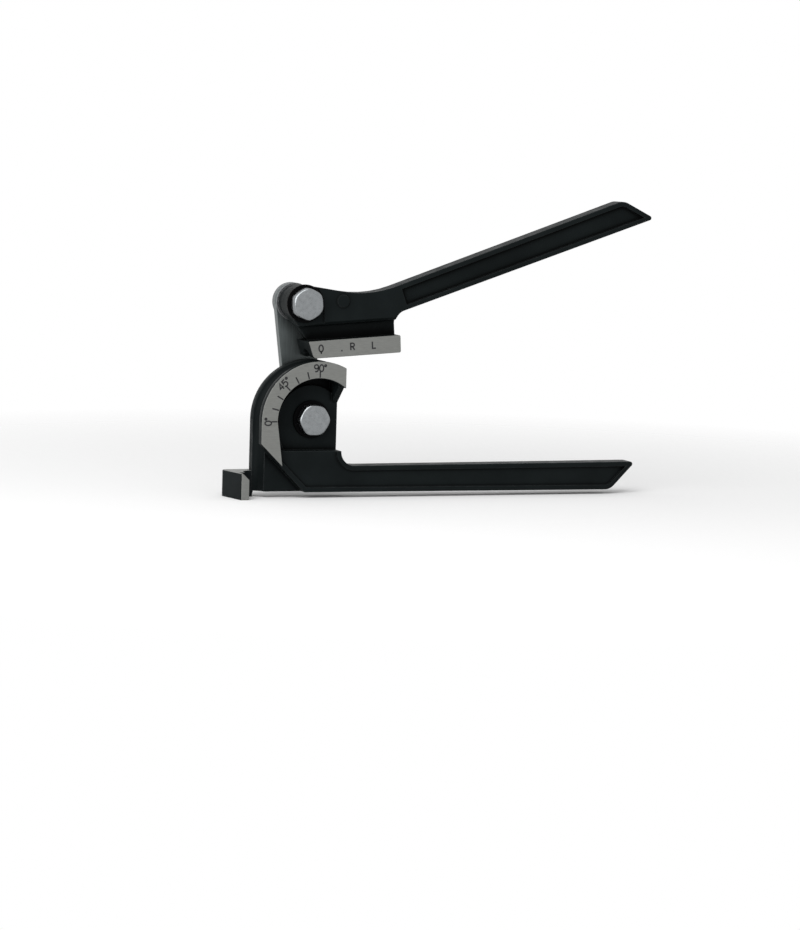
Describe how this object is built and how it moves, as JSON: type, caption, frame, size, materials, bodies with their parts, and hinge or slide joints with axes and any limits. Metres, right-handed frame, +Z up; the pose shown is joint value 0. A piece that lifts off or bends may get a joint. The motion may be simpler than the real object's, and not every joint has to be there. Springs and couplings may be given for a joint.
{
  "type": "tube bender",
  "caption": "Lever tube bender: a grooved forming wheel with tube hook on a handle, a grooved shoe on a second handle, and a link bar that swings the shoe round the wheel.",
  "frame": {"origin": "on the axis of the tube where the bend starts, at the forming wheel's 0 degree mark, in the middle plane of its groove", "axes": "+X along the forming handle towards its tip, +Y away from the ground faces towards the link bar, +Z up, against the way the straight tube leaves the hook"},
  "size_m": [0.282, 0.0485, 0.19],
  "materials": {
    "paint": "semi-gloss black paint",
    "link": "dark grey oxide",
    "bolt": "bright zinc plate",
    "washer": "black oxide",
    "spacer": "plain steel",
    "insert": "natural nylon"
  },
  "bodies": {
    "forming_side": {"forming_handle": "paint", "wheel_bolt": "bolt", "wheel_head_washer": "washer", "wheel_spacer": "spacer", "wheel_nut_washer": "bolt", "wheel_lock_nut": "bolt", "wheel_nut_insert": "insert"},
    "link": {"link_bar": "link"},
    "slide_side": {"slide_handle": "paint", "handle_bolt": "bolt", "handle_head_washer": "washer", "handle_spacer": "spacer", "handle_nut_washer": "bolt", "handle_lock_nut": "bolt", "handle_nut_insert": "insert"}
  },
  "joints": [
    {"name": "link_swing", "type": "hinge", "parent": "forming_side", "child": "link", "pos_m": [0.0381, 0, 0], "axis": [0, 1, 0], "range_deg": [-95, 20]},
    {"name": "handle_pivot", "type": "hinge", "parent": "link", "child": "slide_side", "pos_m": [0.0287, 0, 0.07345], "axis": [0, 1, 0], "range_deg": [-75, 4.1]}
  ]
}
